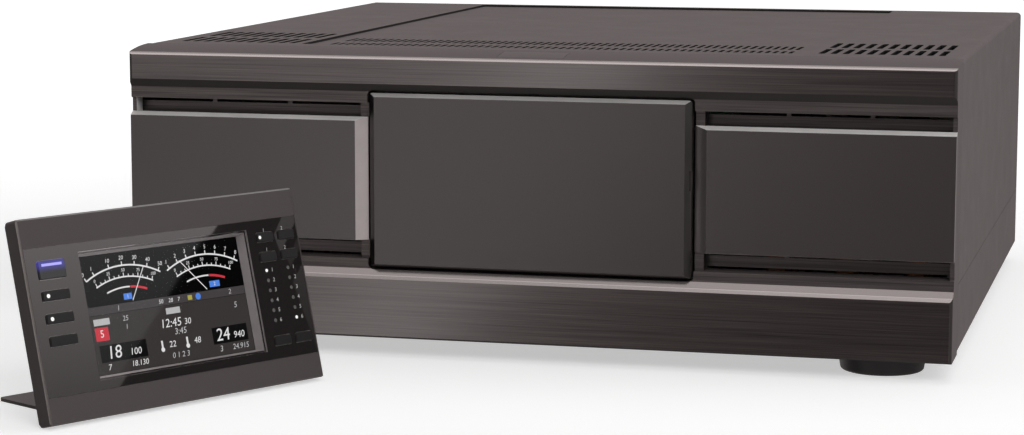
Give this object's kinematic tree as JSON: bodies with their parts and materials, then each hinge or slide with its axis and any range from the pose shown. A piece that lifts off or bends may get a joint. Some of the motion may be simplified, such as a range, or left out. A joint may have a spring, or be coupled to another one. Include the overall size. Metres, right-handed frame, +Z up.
{
  "type": "hf linear amplifier",
  "caption": "Full-width radio amplifier cabinet with a brushed front frame, vented cover and rear sockets, beside a small touch-panel controller on a folding stand.",
  "frame": {"origin": "desk level under the middle of the whole set: the cabinet's mid plane in X, half way between the controller's front corner and the ground stud in Y", "axes": "+X to the right seen from the front, +Y from the front to the back, +Z up"},
  "size_m": [0.43, 0.6475, 0.1564],
  "materials": {
    "frame_paint": "dark grey satin paint with a brushed face",
    "cover_paint": "dark grey fine-textured paint",
    "panel_paint": "dark grey matt paint",
    "steel": "zinc-plated steel",
    "nickel": "nickel-plated brass",
    "alloy": "extruded aluminium",
    "case_plastic": "dark grey matt moulding",
    "black_plastic": "black moulding",
    "fascia_gloss": "black gloss fascia",
    "clear": "clear screen window",
    "lamp": "milky light guide",
    "board": "green solder mask",
    "rubber": "black rubber",
    "copper": "enamelled copper wire on cores",
    "ferrite": "dark ferrite",
    "ceramic": "ceramic and gold-flashed flange",
    "sleeve": "shrink sleeve over aluminium can"
  },
  "bodies": {
    "cabinet": {"front_frame": "frame_paint", "left_front_plate": "panel_paint", "right_front_plate": "panel_paint", "bottom_tray": "cover_paint", "top_cover": "cover_paint", "rear_panel": "frame_paint", "case_screws": "steel", "feet": "rubber", "foot_screws": "steel", "supply_case": "steel", "supply_board": "board", "supply_capacitors": "sleeve", "supply_transformer": "ferrite", "heat_sink": "alloy", "pa_board": "board", "pa_transistors": "ceramic", "output_transformers": "ferrite", "filter_board": "board", "filter_coils": "copper", "tuner_board": "board", "tuner_coils": "copper", "tuner_relays": "black_plastic", "control_board": "board", "left_fan_frame": "black_plastic", "right_fan_frame": "black_plastic", "fan_guards": "nickel", "coax_sockets": "nickel", "ground_stud": "steel", "ground_nut": "nickel", "mains_inlet": "black_plastic", "breaker_frame": "black_plastic", "phono_jacks": "nickel", "control_jacks": "black_plastic"},
    "controller": {"controller_front": "case_plastic", "controller_back": "case_plastic", "fascia": "fascia_gloss", "window": "clear", "display": "black_plastic", "controller_board": "board", "indicator_lamps": "lamp", "stand_pin": "steel", "controller_screws": "steel", "controller_jack": "black_plastic"},
    "stand": {"stand": "case_plastic"},
    "dock_cover": {"dock_cover": "panel_paint"},
    "release_tab": {"release_tab": "cover_paint"},
    "left_fan_rotor": {"left_fan_rotor": "black_plastic"},
    "right_fan_rotor": {"right_fan_rotor": "black_plastic"},
    "breaker_rocker": {"breaker_rocker": "black_plastic"},
    "key_power": {"key_power": "case_plastic"},
    "key_tuner": {"key_tuner": "case_plastic"},
    "key_amp": {"key_amp": "case_plastic"},
    "key_protect": {"key_protect": "case_plastic"},
    "key_input_1": {"key_input_1": "case_plastic"},
    "key_input_2": {"key_input_2": "case_plastic"},
    "key_antenna_1": {"key_antenna_1": "case_plastic"},
    "key_antenna_2": {"key_antenna_2": "case_plastic"},
    "key_menu": {"key_menu": "case_plastic"},
    "key_function": {"key_function": "case_plastic"}
  },
  "joints": [
    {"name": "controller_lift", "type": "slide", "parent": "cabinet", "child": "controller", "axis": [0, 0, 1], "range_m": [0, 0.2]},
    {"name": "stand_fold", "type": "hinge", "parent": "controller", "child": "stand", "pos_m": [-0.14303, -0.24278, 0.00357], "axis": [0.4924, 0.8704, 0], "range_deg": [0, 75]},
    {"name": "dock_cover_pull", "type": "slide", "parent": "cabinet", "child": "dock_cover", "axis": [0, -1, 0], "range_m": [0, 0.04]},
    {"name": "release_tab_press", "type": "slide", "parent": "cabinet", "child": "release_tab", "axis": [0, 0, -1], "range_m": [0, 0.0015], "stiffness_N_per_m": 1200, "springref_m": -0.001},
    {"name": "left_fan_spin", "type": "hinge", "parent": "cabinet", "child": "left_fan_rotor", "pos_m": [-0.043, 0.2915, 0.084], "axis": [0, 1, 0], "continuous": true},
    {"name": "right_fan_spin", "type": "hinge", "parent": "cabinet", "child": "right_fan_rotor", "pos_m": [0.043, 0.2915, 0.084], "axis": [0, 1, 0], "continuous": true},
    {"name": "breaker_rock", "type": "hinge", "parent": "cabinet", "child": "breaker_rocker", "pos_m": [-0.1505, 0.3, 0.102], "axis": [1, 0, 0], "range_deg": [-24, 0]},
    {"name": "key_power_press", "type": "slide", "parent": "controller", "child": "key_power", "axis": [-0.8426, 0.4767, -0.2504], "range_m": [0, 0.0008], "stiffness_N_per_m": 1500, "springref_m": -0.0005},
    {"name": "key_tuner_press", "type": "slide", "parent": "controller", "child": "key_tuner", "axis": [-0.8426, 0.4767, -0.2504], "range_m": [0, 0.0005], "stiffness_N_per_m": 1500, "springref_m": -0.0005},
    {"name": "key_amp_press", "type": "slide", "parent": "controller", "child": "key_amp", "axis": [-0.8426, 0.4767, -0.2504], "range_m": [0, 0.0005], "stiffness_N_per_m": 1500, "springref_m": -0.0005},
    {"name": "key_protect_press", "type": "slide", "parent": "controller", "child": "key_protect", "axis": [-0.8426, 0.4767, -0.2504], "range_m": [0, 0.0005], "stiffness_N_per_m": 1500, "springref_m": -0.0005},
    {"name": "key_input_1_press", "type": "slide", "parent": "controller", "child": "key_input_1", "axis": [-0.8426, 0.4767, -0.2504], "range_m": [0, 0.0005], "stiffness_N_per_m": 1500, "springref_m": -0.0005},
    {"name": "key_input_2_press", "type": "slide", "parent": "controller", "child": "key_input_2", "axis": [-0.8426, 0.4767, -0.2504], "range_m": [0, 0.0005], "stiffness_N_per_m": 1500, "springref_m": -0.0005},
    {"name": "key_antenna_1_press", "type": "slide", "parent": "controller", "child": "key_antenna_1", "axis": [-0.8426, 0.4767, -0.2504], "range_m": [0, 0.0005], "stiffness_N_per_m": 1500, "springref_m": -0.0005},
    {"name": "key_antenna_2_press", "type": "slide", "parent": "controller", "child": "key_antenna_2", "axis": [-0.8426, 0.4767, -0.2504], "range_m": [0, 0.0005], "stiffness_N_per_m": 1500, "springref_m": -0.0005},
    {"name": "key_menu_press", "type": "slide", "parent": "controller", "child": "key_menu", "axis": [-0.8426, 0.4767, -0.2504], "range_m": [0, 0.0005], "stiffness_N_per_m": 1500, "springref_m": -0.0005},
    {"name": "key_function_press", "type": "slide", "parent": "controller", "child": "key_function", "axis": [-0.8426, 0.4767, -0.2504], "range_m": [0, 0.0005], "stiffness_N_per_m": 1500, "springref_m": -0.0005}
  ]
}
